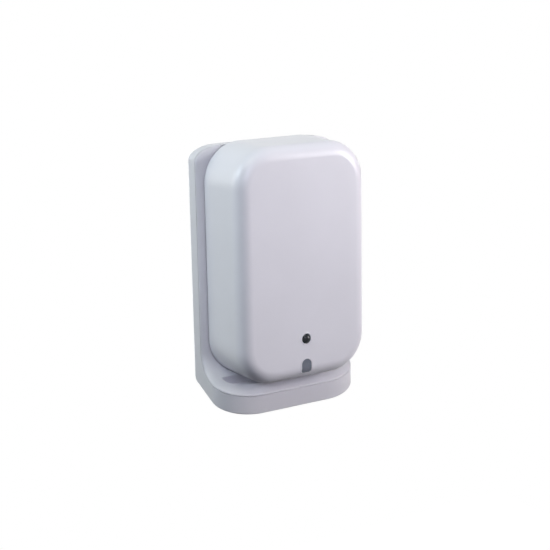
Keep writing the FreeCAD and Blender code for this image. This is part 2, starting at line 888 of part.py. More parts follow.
def foot_pad_band(grow):
    """Band along the foot's underside, between the pad's seat and how far it stands proud."""
    seat = (foot_pad_thick - foot_pad_proud) / lean
    proud = -foot_pad_proud / lean
    low = foot_low + slope * foot_reach
    start = -foot_reach
    end = -foot_pad_back + grow
    heights = [(start, seat), (end, seat), (end, proud), (start, proud)]
    corners = [(y, low + slope * y + rise, 0) for y, rise in heights]
    wire = rounded_wire(corners, lambda p: V(-far / 2, p.x, p.y))
    band = Part.Face(wire).extrude(V(far, 0, 0))
    return band.common(plan_prism(foot_pad_inset - grow))


def all_nodes():
    """Every piece by node name."""
    header_end = main_front_y - header_high
    socket_start = header_end - 2 * fit_gap
    case_seat = panel_out_y - screw_head_high
    nodes = {
        "bracket_base": bracket_base(),
        "bracket_cover": bracket_cover(),
        "bracket_screws": screws(cover_screw_places, -screw_head_high, 1, screw_head_high,
                                 cover_screw_length),
        "adhesive_pads": adhesive_pads(0),
        "foot_pad": foot_pad_band(0),
        "front_cover": front_cover(),
        "rear_cover": rear_cover(),
        "case_screws": screws(post_places, case_seat, 1, screw_head_high, case_screw_length),
        "light_sensor_lens": light_sensor_lens(),
        "status_window": status_window(),
        "light_seal": light_seal(),
        "radar_board": radar_board(),
        "radar_board_screws": screws(radar_screw_places, radar_rear_y, 1, board_head_high,
                                     radar_screw_length),
        "antenna_patches": antenna_patches(),
        "main_board": main_board(),
        "main_board_screws": screws(main_screw_places, main_front_y, -1, board_head_high,
                                    main_screw_length),
        "wireless_module": wireless_module(),
        "module_shield": module_shield(),
        "board_header": header_block(main_front_y, header_end),
        "board_socket": header_block(socket_start, radar_rear_y),
        "header_pins": header_pins(0),
        "usb_shell": usb_shell(),
        "usb_insert": usb_insert(),
        "reset_button": reset_button(),
        "switch_plunger": switch_plunger(),
        "button_switch": button_switch(),
    }
    nodes.update(radar_board_parts())
    nodes.update(main_board_parts())
    return nodes


os.makedirs("parts", exist_ok=True)
for name, shape in all_nodes().items():
    shape.exportStep("parts/" + name + ".step")
    print(name, "solids", len(shape.Solids), "volume", round(shape.Volume, 2), "valid", shape.isValid())
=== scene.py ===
import math

import bpy
import numpy as np
from mathutils import Matrix, Vector


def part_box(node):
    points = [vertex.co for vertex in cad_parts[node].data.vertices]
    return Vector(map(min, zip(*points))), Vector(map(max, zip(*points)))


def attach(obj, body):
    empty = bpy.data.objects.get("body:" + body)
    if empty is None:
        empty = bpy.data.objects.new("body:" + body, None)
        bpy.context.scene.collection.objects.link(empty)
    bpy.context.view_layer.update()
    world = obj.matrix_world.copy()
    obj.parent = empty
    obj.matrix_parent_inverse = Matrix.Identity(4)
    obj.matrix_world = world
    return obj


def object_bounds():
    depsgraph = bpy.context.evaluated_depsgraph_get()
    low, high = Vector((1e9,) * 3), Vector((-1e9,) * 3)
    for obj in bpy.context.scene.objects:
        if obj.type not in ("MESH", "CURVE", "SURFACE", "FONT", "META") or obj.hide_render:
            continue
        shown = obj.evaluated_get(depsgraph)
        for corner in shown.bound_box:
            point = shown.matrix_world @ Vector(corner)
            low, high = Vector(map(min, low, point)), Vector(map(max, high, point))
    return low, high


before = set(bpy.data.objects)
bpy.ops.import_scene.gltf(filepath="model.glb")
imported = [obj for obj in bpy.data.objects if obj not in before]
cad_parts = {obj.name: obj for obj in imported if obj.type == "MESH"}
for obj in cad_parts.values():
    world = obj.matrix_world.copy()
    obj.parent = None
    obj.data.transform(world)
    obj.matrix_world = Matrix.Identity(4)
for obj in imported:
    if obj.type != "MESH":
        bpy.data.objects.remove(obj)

bl_info = {
    "name": "Presence Sensor",
    "version": (1, 0, 0),
    "blender": (4, 5, 0),
    "location": "3D Viewport > Sidebar > Sensor",
    "description": "Finishes a wall-held presence sensor and its bracket, and lights them for a picture",
    "category": "Object",
}

# Lengths are in metres, as in Blender, and are written as millimetres times mm.
mm = 0.001
cad_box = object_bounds()

# Steps round the lens bead, in a quarter of the window bead and round the section of either.
lens_steps = 64
window_steps = 24
section_steps = 12
# Height below every point of the sensor, for a bead that nowhere reaches the rounded edge.
far_below = -1000 * mm


# Colours and nodes

def linear(hex_colour):
    """Turn an sRGB hex colour into linear RGBA."""
    digits = hex_colour.lstrip("#")
    channels = [int(digits[i:i + 2], 16) / 255 for i in (0, 2, 4)]
    return [c / 12.92 if c <= 0.04045 else ((c + 0.055) / 1.055) ** 2.4 for c in channels] + [1.0]


def shaded(colour, factor):
    """A linear colour made darker or lighter by a factor."""
    return [channel * factor for channel in colour[:3]] + [1.0]


def add_node(tree, kind, settings=None, out=0, **inputs):
    """Add a shader node with its settings and links, and return one of its outputs.

    Settings are the node's own attributes, and stops are a colour ramp's positions and linear colours.
    Inputs are named for their sockets, with an underscore for a space, or numbered, as in_0. Each is a
    value, or an output to link from.
    """
    made = tree.nodes.new("ShaderNode" + kind)
    for key, value in (settings or {}).items():
        if key != "stops":
            setattr(made, key, value)
            continue
        elements = made.color_ramp.elements
        while len(elements) < len(value):
            elements.new(0.5)
        for element, (position, colour) in zip(elements, value):
            element.position = position
            element.color = colour
    for key, value in inputs.items():
        socket = made.inputs[int(key[3:]) if key.startswith("in_") else key.replace("_", " ")]
        if isinstance(value, bpy.types.NodeSocket):
            tree.links.new(value, socket)
        else:
            socket.default_value = value
    return made.outputs[out] if made.outputs else None


def new_material(name):
    """Material with an empty node tree, and the object's own coordinates to lay its patterns on."""
    material = bpy.data.materials.new(name)
    material.use_nodes = True
    tree = material.node_tree
    tree.nodes.clear()
    return material, tree, add_node(tree, "TexCoord", out="Object")


# Materials

def moulded_abs(name, colour, roughness, grain):
    """Injection-moulded ABS from a spark-eroded tool.

    The eroded tool leaves an even fine grain that spreads the gloss into a satin one, and the tint
    drifts very slightly where the melt flowed and cooled at different speeds. The skin that froze
    against the tool is smoother than what lies under it, and adds a faint sharp gloss as a coat. A
    real grain is finer still, and is drawn as coarse as it needs to show.
    """
    material, tree, place = new_material(name)
    flow = add_node(tree, "TexNoise", Vector=place, Scale=1 / (24 * mm), Detail=2.0)
    stops = ((0.35, shaded(colour, 0.975)), (0.65, colour))
    tint = add_node(tree, "ValToRGB", {"stops": stops}, Fac=flow)
    eroded = add_node(tree, "TexNoise", Vector=place, Scale=1 / grain, Detail=3.0, Roughness=0.6)
    drift = 0.02
    gloss = add_node(tree, "MapRange", Value=eroded, From_Min=0.3, From_Max=0.7,
                     To_Min=roughness - drift, To_Max=roughness + drift)
    skin = add_node(tree, "Bump", Height=eroded, Strength=0.1, Distance=0.004 * mm)
    plastic = add_node(tree, "BsdfPrincipled", Base_Color=tint, Roughness=gloss, Normal=skin, IOR=1.53,
                       Specular_IOR_Level=0.35, Coat_Weight=0.12, Coat_Roughness=0.08)
    add_node(tree, "OutputMaterial", Surface=plastic)
    return material


def smoked_dome(name, colour, centre, radius):
    """Polished dark polycarbonate that passes infrared.

    Nearly black and glassy. Its colour is painted a little paler towards its rim and darker at its
    middle, a painted reflection of the sheen that its edge shows. It has the faint rings that a turned
    mould insert leaves.
    """
    material, tree, place = new_material(name)
    local = add_node(tree, "Mapping", {"vector_type": "TEXTURE"}, Vector=place, Location=centre,
                     Scale=(radius, radius, radius))
    nearness_to_middle = add_node(tree, "TexGradient", {"gradient_type": "SPHERICAL"}, Vector=local)
    # Painted reflection: the colour is paler towards the dome's rim and darker at its middle, for the
    # sheen at its edge.
    stops = ((0.0, shaded(colour, 1.5)), (0.3, shaded(colour, 1.05)), (0.8, shaded(colour, 0.7)))
    tint = add_node(tree, "ValToRGB", {"stops": stops}, Fac=nearness_to_middle)
    rings = add_node(tree, "TexWave", {"wave_type": "RINGS", "rings_direction": "Y"}, Vector=local,
                     Scale=4.0, Distortion=0.2)
    gloss = add_node(tree, "MapRange", Value=rings, To_Min=0.1, To_Max=0.14)
    skin = add_node(tree, "Bump", Height=rings, Strength=0.04, Distance=0.01 * mm)
    plastic = add_node(tree, "BsdfPrincipled", Base_Color=tint, Roughness=gloss, Normal=skin, IOR=1.585,
                       Specular_IOR_Level=0.2)
    add_node(tree, "OutputMaterial", Surface=plastic)
    return material


def smoked_window(name, colour, centre, size):
    """Smoked polycarbonate light guide, moulded with a frosted inner face.

    Grey and softly glossy; the frosting shows as a fine cloud, and the guide's colour is a touch paler
    at its middle and darker towards its edge.
    """
    material, tree, place = new_material(name)
    local = add_node(tree, "Mapping", {"vector_type": "TEXTURE"}, Vector=place, Location=centre,
                     Scale=(size, size, size))
    nearness_to_middle = add_node(tree, "TexGradient", {"gradient_type": "SPHERICAL"}, Vector=local)
    # Colour a touch paler at the middle of the window and darker towards its edge.
    stops = ((0.0, shaded(colour, 0.92)), (0.7, shaded(colour, 1.08)))
    tint = add_node(tree, "ValToRGB", {"stops": stops}, Fac=nearness_to_middle)
    frost = add_node(tree, "TexNoise", Vector=place, Scale=1 / (0.5 * mm), Detail=4.0)
    gloss = add_node(tree, "MapRange", Value=frost, From_Min=0.3, From_Max=0.7, To_Min=0.2, To_Max=0.28)
    skin = add_node(tree, "Bump", Height=frost, Strength=0.05, Distance=0.02 * mm)
    plastic = add_node(tree, "BsdfPrincipled", Base_Color=tint, Roughness=gloss, Normal=skin, IOR=1.585)
    add_node(tree, "OutputMaterial", Surface=plastic)
    return material


def zinc_plate(name):
    """Zinc-plated steel screws, cold-headed and barrel-plated: bright bluish metal, mottled by haze."""
    material, tree, place = new_material(name)
    haze = add_node(tree, "TexNoise", Vector=place, Scale=1 / (0.8 * mm), Detail=4.0)
    stops = ((0.3, linear("#A9AEB4")), (0.7, linear("#D3D7DA")))
    tint = add_node(tree, "ValToRGB", {"stops": stops}, Fac=haze)
    gloss = add_node(tree, "MapRange", Value=haze, From_Min=0.3, From_Max=0.7, To_Min=0.22, To_Max=0.4)
    skin = add_node(tree, "Bump", Height=haze, Strength=0.1, Distance=0.01 * mm)
    metal = add_node(tree, "BsdfPrincipled", Base_Color=tint, Roughness=gloss, Normal=skin, Metallic=1.0)
    add_node(tree, "OutputMaterial", Surface=metal)
    return material


def tin_plate(name):
    """Tin-plated pressed steel: pale soft metal with rolling lines, level and 4 mm long.

    They lie 0.12 mm apart, which is coarser than the real ones, so that they show.
    """
    material, tree, place = new_material(name)
    squeeze = 0.03
    along = add_node(tree, "Mapping", {"vector_type": "TEXTURE"}, Vector=place, Scale=(1, 1, squeeze))
    lines = add_node(tree, "TexNoise", Vector=along, Scale=1 / (4 * mm), Detail=3.0)
    stops = ((0.3, linear("#B9BABA")), (0.7, linear("#DADBD9")))
    tint = add_node(tree, "ValToRGB", {"stops": stops}, Fac=lines)
    gloss = add_node(tree, "MapRange", Value=lines, From_Min=0.3, From_Max=0.7, To_Min=0.26, To_Max=0.4)
    skin = add_node(tree, "Bump", Height=lines, Strength=0.08, Distance=0.01 * mm)
    metal = add_node(tree, "BsdfPrincipled", Base_Color=tint, Roughness=gloss, Normal=skin, Metallic=1.0)
    add_node(tree, "OutputMaterial", Surface=metal)
    return material


def gold_plate(name):
    """Gold flash over nickel on copper and brass: warm metal with a slightly matt, etched surface.

    The etched pits are drawn 0.25 mm wide, larger than they are, so that they show.
    """
    material, tree, place = new_material(name)
    etch = add_node(tree, "TexNoise", Vector=place, Scale=1 / (0.25 * mm), Detail=3.0)
    stops = ((0.3, linear("#C79A4A")), (0.7, linear("#E8C46F")))
    tint = add_node(tree, "ValToRGB", {"stops": stops}, Fac=etch)
    gloss = add_node(tree, "MapRange", Value=etch, From_Min=0.3, From_Max=0.7, To_Min=0.25, To_Max=0.38)
    skin = add_node(tree, "Bump", Height=etch, Strength=0.08, Distance=0.01 * mm)
    metal = add_node(tree, "BsdfPrincipled", Base_Color=tint, Roughness=gloss, Normal=skin, Metallic=1.0)
    add_node(tree, "OutputMaterial", Surface=metal)
    return material


def solder_mask(name):
    """Green solder mask printed over copper: lighter over tracks, darker over bare board."""
    material, tree, place = new_material(name)
    tracks = add_node(tree, "TexVoronoi", {"distance": "MANHATTAN", "feature": "F1"}, Vector=place,
                      Scale=1 / (3.2 * mm))
    stops = ((0.42, linear("#1E6B3C")), (0.47, linear("#0F4A28")))
    tint = add_node(tree, "ValToRGB", {"stops": stops}, Fac=tracks)
    weave = add_node(tree, "TexNoise", Vector=place, Scale=1 / (0.6 * mm), Detail=2.0)
    gloss = add_node(tree, "MapRange", Value=weave, From_Min=0.3, From_Max=0.7, To_Min=0.3, To_Max=0.4)
    skin = add_node(tree, "Bump", Height=tracks, Strength=0.15, Distance=0.03 * mm)
    resin = add_node(tree, "BsdfPrincipled", Base_Color=tint, Roughness=gloss, Normal=skin, IOR=1.5)
    add_node(tree, "OutputMaterial", Surface=resin)
    return material


def moulded_epoxy(name):
    """Black epoxy moulded round the chips: dead matt from the blasted tool, with pale filler specks.

    The specks are drawn 0.15 mm wide, larger than the real filler, so that they show.
    """
    material, tree, place = new_material(name)
    specks = add_node(tree, "TexNoise", Vector=place, Scale=1 / (0.15 * mm), Detail=5.0, Roughness=0.7)
    stops = ((0.35, linear("#1B1C1E")), (0.75, linear("#313336")))
    tint = add_node(tree, "ValToRGB", {"stops": stops}, Fac=specks)
    gloss = add_node(tree, "MapRange", Value=specks, From_Min=0.3, From_Max=0.7, To_Min=0.5, To_Max=0.65)
    skin = add_node(tree, "Bump", Height=specks, Strength=0.2, Distance=0.02 * mm)
    resin = add_node(tree, "BsdfPrincipled", Base_Color=tint, Roughness=gloss, Normal=skin, IOR=1.5)
    add_node(tree, "OutputMaterial", Surface=resin)
    return material


def glass_nylon(name):
    """Glass-filled black nylon of connectors, injection-moulded: satin, with fibres along the flow.

    The fibres are 0.8 mm long, and drawn 0.2 mm wide, which is thicker than glass fibre, to show.
    """
    material, tree, place = new_material(name)
    stretch = 4
    along = add_node(tree, "Mapping", {"vector_type": "TEXTURE"}, Vector=place, Scale=(1, 1, stretch))
    fibres = add_node(tree, "TexNoise", Vector=along, Scale=1 / (0.2 * mm), Detail=4.0)
    stops = ((0.35, linear("#17181A")), (0.7, linear("#2A2B2D")))
    tint = add_node(tree, "ValToRGB", {"stops": stops}, Fac=fibres)
    gloss = add_node(tree, "MapRange", Value=fibres, From_Min=0.3, From_Max=0.7, To_Min=0.35, To_Max=0.5)
    skin = add_node(tree, "Bump", Height=fibres, Strength=0.15, Distance=0.02 * mm)
    nylon = add_node(tree, "BsdfPrincipled", Base_Color=tint, Roughness=gloss, Normal=skin, IOR=1.53)
    add_node(tree, "OutputMaterial", Surface=nylon)
    return material


def drawn_can(name):
    """Drawn aluminium can of a capacitor: pale metal with draw marks along its side, 0.3 mm wide."""
    material, tree, place = new_material(name)
    stretch = 12
    along = add_node(tree, "Mapping", {"vector_type": "TEXTURE"}, Vector=place, Scale=(1, stretch, 1))
    marks = add_node(tree, "TexNoise", Vector=along, Scale=1 / (0.3 * mm), Detail=3.0)
    stops = ((0.3, linear("#B4B6B8")), (0.7, linear("#D9DADC")))
    tint = add_node(tree, "ValToRGB", {"stops": stops}, Fac=marks)
    gloss = add_node(tree, "MapRange", Value=marks, From_Min=0.3, From_Max=0.7, To_Min=0.25, To_Max=0.4)
    skin = add_node(tree, "Bump", Height=marks, Strength=0.1, Distance=0.01 * mm)
    metal = add_node(tree, "BsdfPrincipled", Base_Color=tint, Roughness=gloss, Normal=skin, Metallic=1.0)
    add_node(tree, "OutputMaterial", Surface=metal)
    return material


def fired_ceramic(name):
    """Fired ceramic of small capacitors: tan, matt and slightly mottled."""
    material, tree, place = new_material(name)
    mottle = add_node(tree, "TexNoise", Vector=place, Scale=1 / (0.3 * mm), Detail=4.0)
    stops = ((0.3, linear("#9B7F5C")), (0.7, linear("#BBA07A")))
    tint = add_node(tree, "ValToRGB", {"stops": stops}, Fac=mottle)
    gloss = add_node(tree, "MapRange", Value=mottle, From_Min=0.3, From_Max=0.7, To_Min=0.5, To_Max=0.62)
    skin = add_node(tree, "Bump", Height=mottle, Strength=0.15, Distance=0.02 * mm)
    ceramic = add_node(tree, "BsdfPrincipled", Base_Color=tint, Roughness=gloss, Normal=skin, IOR=1.6)
    add_node(tree, "OutputMaterial", Surface=ceramic)
    return material


def phosphor_resin(name, centre, radius):
    """Clear resin of a light-emitting diode over its yellow phosphor, in a white reflector cup."""
    material, tree, place = new_material(name)
    local = add_node(tree, "Mapping", {"vector_type": "TEXTURE"}, Vector=place, Location=centre,
                     Scale=(radius, radius, radius))
    cup = add_node(tree, "TexGradient", {"gradient_type": "SPHERICAL"}, Vector=local)
    stops = ((0.1, linear("#F0EFEA")), (0.2, linear("#E8D34F")))
    tint = add_node(tree, "ValToRGB", {"stops": stops}, Fac=cup)
    dust = add_node(tree, "TexNoise", Vector=place, Scale=1 / (0.1 * mm), Detail=3.0)
    gloss = add_node(tree, "MapRange", Value=dust, From_Min=0.3, From_Max=0.7, To_Min=0.15, To_Max=0.25)
    skin = add_node(tree, "Bump", Height=dust, Strength=0.05, Distance=0.01 * mm)
    resin = add_node(tree, "BsdfPrincipled", Base_Color=tint, Roughness=gloss, Normal=skin, IOR=1.52)
    add_node(tree, "OutputMaterial", Surface=resin)
    return material


def closed_cell_foam(name, pale, deep, cell):
    """Closed-cell foam, cut from sheet: matt and dimpled by its cells."""
    material, tree, place = new_material(name)
    cells = add_node(tree, "TexVoronoi", {"feature": "F1"}, Vector=place, Scale=1 / cell)
    stops = ((0.1, pale), (0.6, deep))
    tint = add_node(tree, "ValToRGB", {"stops": stops}, Fac=cells)
    grain = add_node(tree, "TexNoise", Vector=place, Scale=1 / (0.3 * mm), Detail=3.0)
    gloss = add_node(tree, "MapRange", Value=grain, From_Min=0.3, From_Max=0.7, To_Min=0.75, To_Max=0.9)
    skin = add_node(tree, "Bump", Height=cells, Strength=0.5, Distance=0.1 * mm)
    foam = add_node(tree, "BsdfPrincipled", Base_Color=tint, Roughness=gloss, Normal=skin, IOR=1.45)
    add_node(tree, "OutputMaterial", Surface=foam)
    return material


def silicone_rubber(name):
    """Press-moulded silicone rubber: dark grey and matt with a dusty bloom."""
    material, tree, place = new_material(name)
    bloom = add_node(tree, "TexNoise", Vector=place, Scale=1 / (1.5 * mm), Detail=5.0, Roughness=0.65)
    stops = ((0.3, linear("#4A4B4D")), (0.75, linear("#626366")))
    tint = add_node(tree, "ValToRGB", {"stops": stops}, Fac=bloom)
    gloss = add_node(tree, "MapRange", Value=bloom, From_Min=0.3, From_Max=0.7, To_Min=0.6, To_Max=0.75)
    skin = add_node(tree, "Bump", Height=bloom, Strength=0.15, Distance=0.03 * mm)
    rubber = add_node(tree, "BsdfPrincipled", Base_Color=tint, Roughness=gloss, Normal=skin, IOR=1.42)
    add_node(tree, "OutputMaterial", Surface=rubber)
    return material


# Shapes

def grid_piece(name, points, material, body):
    """Mesh piece from a grid of points (across, along, 3) that closes on itself in both directions."""
    across, along, _ = points.shape
    i, j = np.meshgrid(np.arange(across), np.arange(along), indexing="ij")
    i_next = (i + 1) % across
    j_next = (j + 1) % along
    faces = np.stack([i * along + j, i_next * along + j, i_next * along + j_next, i * along + j_next],
                     axis=-1)
    mesh = bpy.data.meshes.new(name)
    mesh.from_pydata(points.reshape(-1, 3), [], faces.reshape(-1, 4).tolist())
    mesh.polygons.foreach_set("use_smooth", np.ones(across * along, bool))
    mesh.update()
    piece = bpy.data.objects.new(name, mesh)
    bpy.context.scene.collection.objects.link(piece)
    mesh.materials.append(material)
    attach(piece, body)
    return piece


def bead_section(width, high, count):
    """Closed section of a raised bead, as (out, up) points anticlockwise.

    Out runs from 0 to width and up from a little below the surface: the top is half an ellipse of the
    given width and height, and the root dips by the same height into the surface.
    """
    turn = np.linspace(0, 2 * np.pi, count, endpoint=False)
    out = width / 2 * (1 + np.cos(turn))
    up = high * np.sin(turn)
    return np.stack([out, up], -1)


def bead_along(path, outward, upward, section):
    """Bead on a surface: the section's out and up run along two given directions at each path point.

    A point is path + out * outward + up * upward, for every path point and every section point.
    """
    out, up = section[None, :, 0, None], section[None, :, 1, None]
    return path[:, None, :] + out * outward[:, None, :] + up * upward[:, None, :]


def evenly(corners_x, corners_z, count):
    """Points at even steps along a closed outline, and the unit normals that point out of it."""
    x = np.append(corners_x, corners_x[0])
    z = np.append(corners_z, corners_z[0])
    run = np.append(0.0, np.cumsum(np.hypot(np.diff(x), np.diff(z))))
    steps = np.linspace(0.0, run[-1], count, endpoint=False)
    x, z = np.interp(steps, run, x), np.interp(steps, run, z)
    along_x, along_z = np.roll(x, -1) - np.roll(x, 1), np.roll(z, -1) - np.roll(z, 1)
    length = np.hypot(along_x, along_z)
    return x, z, along_z / length, -along_x / length


def round_outline(radius, centre_z, count):
    """Circle about the lens: x is radius times cosine and z is radius times sine of the turn."""
    turn = np.linspace(0.0, 2 * np.pi, 4 * count, endpoint=False)
    return evenly(radius * np.cos(turn), centre_z + radius * np.sin(turn), count)


def window_outline(half, low, top, foot, count):
    """Outline of the window: half a circle at its top, and two tighter quarter circles at its foot."""
    turn = np.linspace(0.0, np.pi / 2, count)
    head = np.linspace(0.0, np.pi, 2 * count)
    x = [foot - half - foot * np.cos(turn), half - foot + foot * np.sin(turn), half * np.cos(head)]
    z = [low + foot - foot * np.sin(turn), low + foot - foot * np.cos(turn),
         top - half + half * np.sin(head)]
    return evenly(np.concatenate(x), np.concatenate(z), 4 * count)


def on_front(x, z, out_x, out_z, face_y, round_start, round_radius):
    """Lay an outline on the body's front, which bends back in an arc below round_start.

    The arc's angle is the arcsine of the drop below round_start over its radius. The surface's own
    normal and its upward direction turn by that angle, and the outline's normals turn with them.
    """
    angle = np.arcsin(np.clip((round_start - z) / round_radius, 0.0, 1.0))
    y = face_y + round_radius * (1 - np.cos(angle))
    zero = np.zeros_like(x)
    path = np.stack([x, y, z], -1)
    outward = np.stack([out_x, -out_z * np.sin(angle), out_z * np.cos(angle)], -1)
    upward = np.stack([zero, -np.cos(angle), -np.sin(angle)], -1)
    return path, outward, upward


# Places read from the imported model

def corners_of(name):
    """Lowest and highest corner of a CAD node, as arrays."""
    low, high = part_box(name)
    return np.array(low), np.array(high)


def centre_of(name):
    """Middle of a CAD node's box."""
    low, high = corners_of(name)
    return tuple((low + high) / 2)


def dress(material, *names):
    """Give CAD nodes their material."""
    for name in names:
        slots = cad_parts[name].data.materials
        slots.clear()
        slots.append(material)


def colour_property(name, description, hex_colour):
    """Colour that a user can change, from its sRGB hex value."""
    return bpy.props.FloatVectorProperty(name=name, description=description, subtype="COLOR", size=4,
                                         min=0.0, max=1.0, default=linear(hex_colour))


def length_property(name, description, value):
    """Length in metres that a user can change."""
    return bpy.props.FloatProperty(name=name, description=description, default=value, min=0.0,
                                   unit="LENGTH", precision=5)


class SensorFinish(bpy.types.PropertyGroup):
    """Colours and sizes of the sensor's finishes and trim."""
    case_colour: colour_property("Case", "Colour of the sensor's covers", "#D9D8E0")
    bracket_colour: colour_property("Bracket", "Colour of the wall bracket", "#D1D0D7")
    button_colour: colour_property("Button", "Colour of the reset button", "#C6C8CE")
    lens_colour: colour_property("Lens", "Colour of the light sensor's dome", "#14181E")
    window_colour: colour_property("Window", "Colour of the status window", "#5C6270")
    case_roughness: bpy.props.FloatProperty(name="Case roughness", description="Roughness of the covers",
                                            default=0.3, min=0.0, max=1.0, subtype="FACTOR")
    bracket_roughness: bpy.props.FloatProperty(name="Bracket roughness", default=0.42, min=0.0, max=1.0,
                                               description="Roughness of the bracket", subtype="FACTOR")
    bead_roughness: bpy.props.FloatProperty(name="Bead roughness", default=0.2, min=0.0, max=1.0,
                                            description="Roughness of the beads", subtype="FACTOR")
    grain: length_property("Grain", "Size of the spark-eroded grain in the plastic", 0.25 * mm)
    edge_round: length_property("Edge round", "Radius of the body's rounded front edge", 5.2 * mm)
    edge_draft: length_property("Edge draft", "How far the body is drawn in at its front", 0.3 * mm)
    lens_diameter: length_property("Lens diameter", "Diameter of the light sensor's dome", 3.9 * mm)
    window_foot: length_property("Window foot", "Corner radius at the foot of the window", 1.1 * mm)
    bead_width: length_property("Bead width", "Width of the bead round lens and window", 0.55 * mm)
    bead_height: length_property("Bead height", "How far that bead stands proud", 0.1 * mm)


class SensorStage(bpy.types.PropertyGroup):
    """Camera, lights and floor of the picture."""
    azimuth: bpy.props.FloatProperty(name="Azimuth", description="How far the camera stands to the left",
                                     default=math.radians(-31.531), unit="ROTATION")
    elevation: bpy.props.FloatProperty(name="Elevation", description="How far the camera stands above",
                                       default=math.radians(12.752), unit="ROTATION")
    roll: bpy.props.FloatProperty(name="Roll", description="Turn of the camera about its own axis",
                                  default=math.radians(-1.091), unit="ROTATION")
    distance: length_property("Distance", "From the camera to the point it looks at", 534.7 * mm)
    aim: bpy.props.FloatVectorProperty(name="Aim", description="Point that the camera looks at", size=3,
                                       default=(5.86 * mm, 0.0, -10.67 * mm), unit="LENGTH")
    lens: bpy.props.FloatProperty(name="Lens", description="Focal length on a 36 mm wide sensor",
                                  default=88.443, unit="CAMERA")
    floor_drop: length_property("Floor drop", "How far the floor lies below the bracket", 600 * mm)
    floor_colour: colour_property("Floor", "Colour of the floor", "#D2D2D5")
    lamp_distance: length_property("Lamp distance", "From each lamp to the point it looks at", 500 * mm)
    lamp_height: length_property("Lamp aim", "How far above the middle of the sensor the lamps look",
                                 60 * mm)


class SENSOR_OT_case(bpy.types.Operator):
    """Finish the front and rear covers as satin-glossy moulded ABS"""
    bl_idname = "sensor.case"
    bl_label = "Case"

    def execute(self, context):
        finish = context.scene.sensor_finish
        plastic = moulded_abs("white_satin_gloss_abs", finish.case_colour, finish.case_roughness,
                              finish.grain)
        dress(plastic, "front_cover", "rear_cover")
        return {"FINISHED"}


class SENSOR_OT_bracket(bpy.types.Operator):
    """Finish both mouldings of the wall bracket as satin ABS"""
    bl_idname = "sensor.bracket"
    bl_label = "Bracket"

    def execute(self, context):
        finish = context.scene.sensor_finish
        plastic = moulded_abs("white_satin_abs", finish.bracket_colour, finish.bracket_roughness,
                              finish.grain)
        dress(plastic, "bracket_base", "bracket_cover")
        return {"FINISHED"}


class SENSOR_OT_pads(bpy.types.Operator):
    """Finish the adhesive strips and the rubber pad of the bracket"""
    bl_idname = "sensor.pads"
    bl_label = "Pads"

    def execute(self, context):
        foam = closed_cell_foam("white_acrylic_foam", linear("#E2E1DE"), linear("#CDCCC8"),
                                cell=0.9 * mm)
        dress(foam, "adhesive_pads")
        dress(silicone_rubber("grey_silicone_rubber"), "foot_pad")
        return {"FINISHED"}


class SENSOR_OT_lens(bpy.types.Operator):
    """Finish the light sensor's dome and lay the bead round it"""
    bl_idname = "sensor.lens"
    bl_label = "Lens"

    def execute(self, context):
        finish = context.scene.sensor_finish
        low, high = corners_of("light_sensor_lens")
        radius = finish.lens_diameter / 2
        centre = (0.0, low[1] + radius / 2, (low[2] + high[2]) / 2)
        dress(smoked_dome("smoked_polycarbonate_dome", finish.lens_colour, centre, radius),
              "light_sensor_lens")
        face_y = corners_of("front_cover")[0][1]
        outline = round_outline(radius, centre[2], lens_steps)
        flat = on_front(*outline, face_y, far_below, finish.edge_round)
        points = bead_along(*flat, bead_section(finish.bead_width, finish.bead_height, section_steps))
        plastic = moulded_abs("polished_abs_lens_bead", finish.case_colour, finish.bead_roughness,
                              finish.grain)
        grid_piece("lens_bead", points, plastic, "sensor")
        return {"FINISHED"}


class SENSOR_OT_window(bpy.types.Operator):
    """Finish the status window and lay the bead round it"""
    bl_idname = "sensor.window"
    bl_label = "Status window"

    def execute(self, context):
        finish = context.scene.sensor_finish
        low, high = corners_of("status_window")
        size = (high[2] - low[2]) / 2
        centre = (0.0, low[1], (low[2] + high[2]) / 2)
        dress(smoked_window("smoked_polycarbonate_window", finish.window_colour, centre, size),
              "status_window")
        body_low, body_high = corners_of("front_cover")
        half = (high[0] - low[0]) / 2
        outline = window_outline(half, low[2], high[2], finish.window_foot, window_steps)
        round_start = body_low[2] + finish.edge_draft + finish.edge_round
        laid = on_front(*outline, body_low[1], round_start, finish.edge_round)
        points = bead_along(*laid, bead_section(finish.bead_width, finish.bead_height, section_steps))
        plastic = moulded_abs("polished_abs_window_bead", finish.case_colour, finish.bead_roughness,
                              finish.grain)
        grid_piece("window_bead", points, plastic, "sensor")
        return {"FINISHED"}


class SENSOR_OT_button(bpy.types.Operator):
    """Finish the reset button, its switch and its plunger"""
    bl_idname = "sensor.button"
    bl_label = "Reset button"

    def execute(self, context):
        finish = context.scene.sensor_finish
        plastic = moulded_abs("grey_satin_abs", finish.button_colour, finish.bracket_roughness,
                              finish.grain)
        dress(plastic, "reset_button")
        dress(glass_nylon("black_nylon_plunger"), "switch_plunger")
        dress(tin_plate("tin_plated_switch"), "button_switch")
        return {"FINISHED"}


class SENSOR_OT_screws(bpy.types.Operator):
    """Finish the screws of the case, the boards and the bracket"""
    bl_idname = "sensor.screws"
    bl_label = "Screws"

    def execute(self, context):
        dress(zinc_plate("zinc_plated_steel"), "bracket_screws", "case_screws", "radar_board_screws",
              "main_board_screws")
        return {"FINISHED"}


class SENSOR_OT_inlet(bpy.types.Operator):
    """Finish the charging inlet in the sensor's back"""
    bl_idname = "sensor.inlet"
    bl_label = "Charging inlet"

    def execute(self, context):
        dress(tin_plate("tin_plated_shell"), "usb_shell")
        dress(glass_nylon("black_nylon_insert"), "usb_insert")
        return {"FINISHED"}


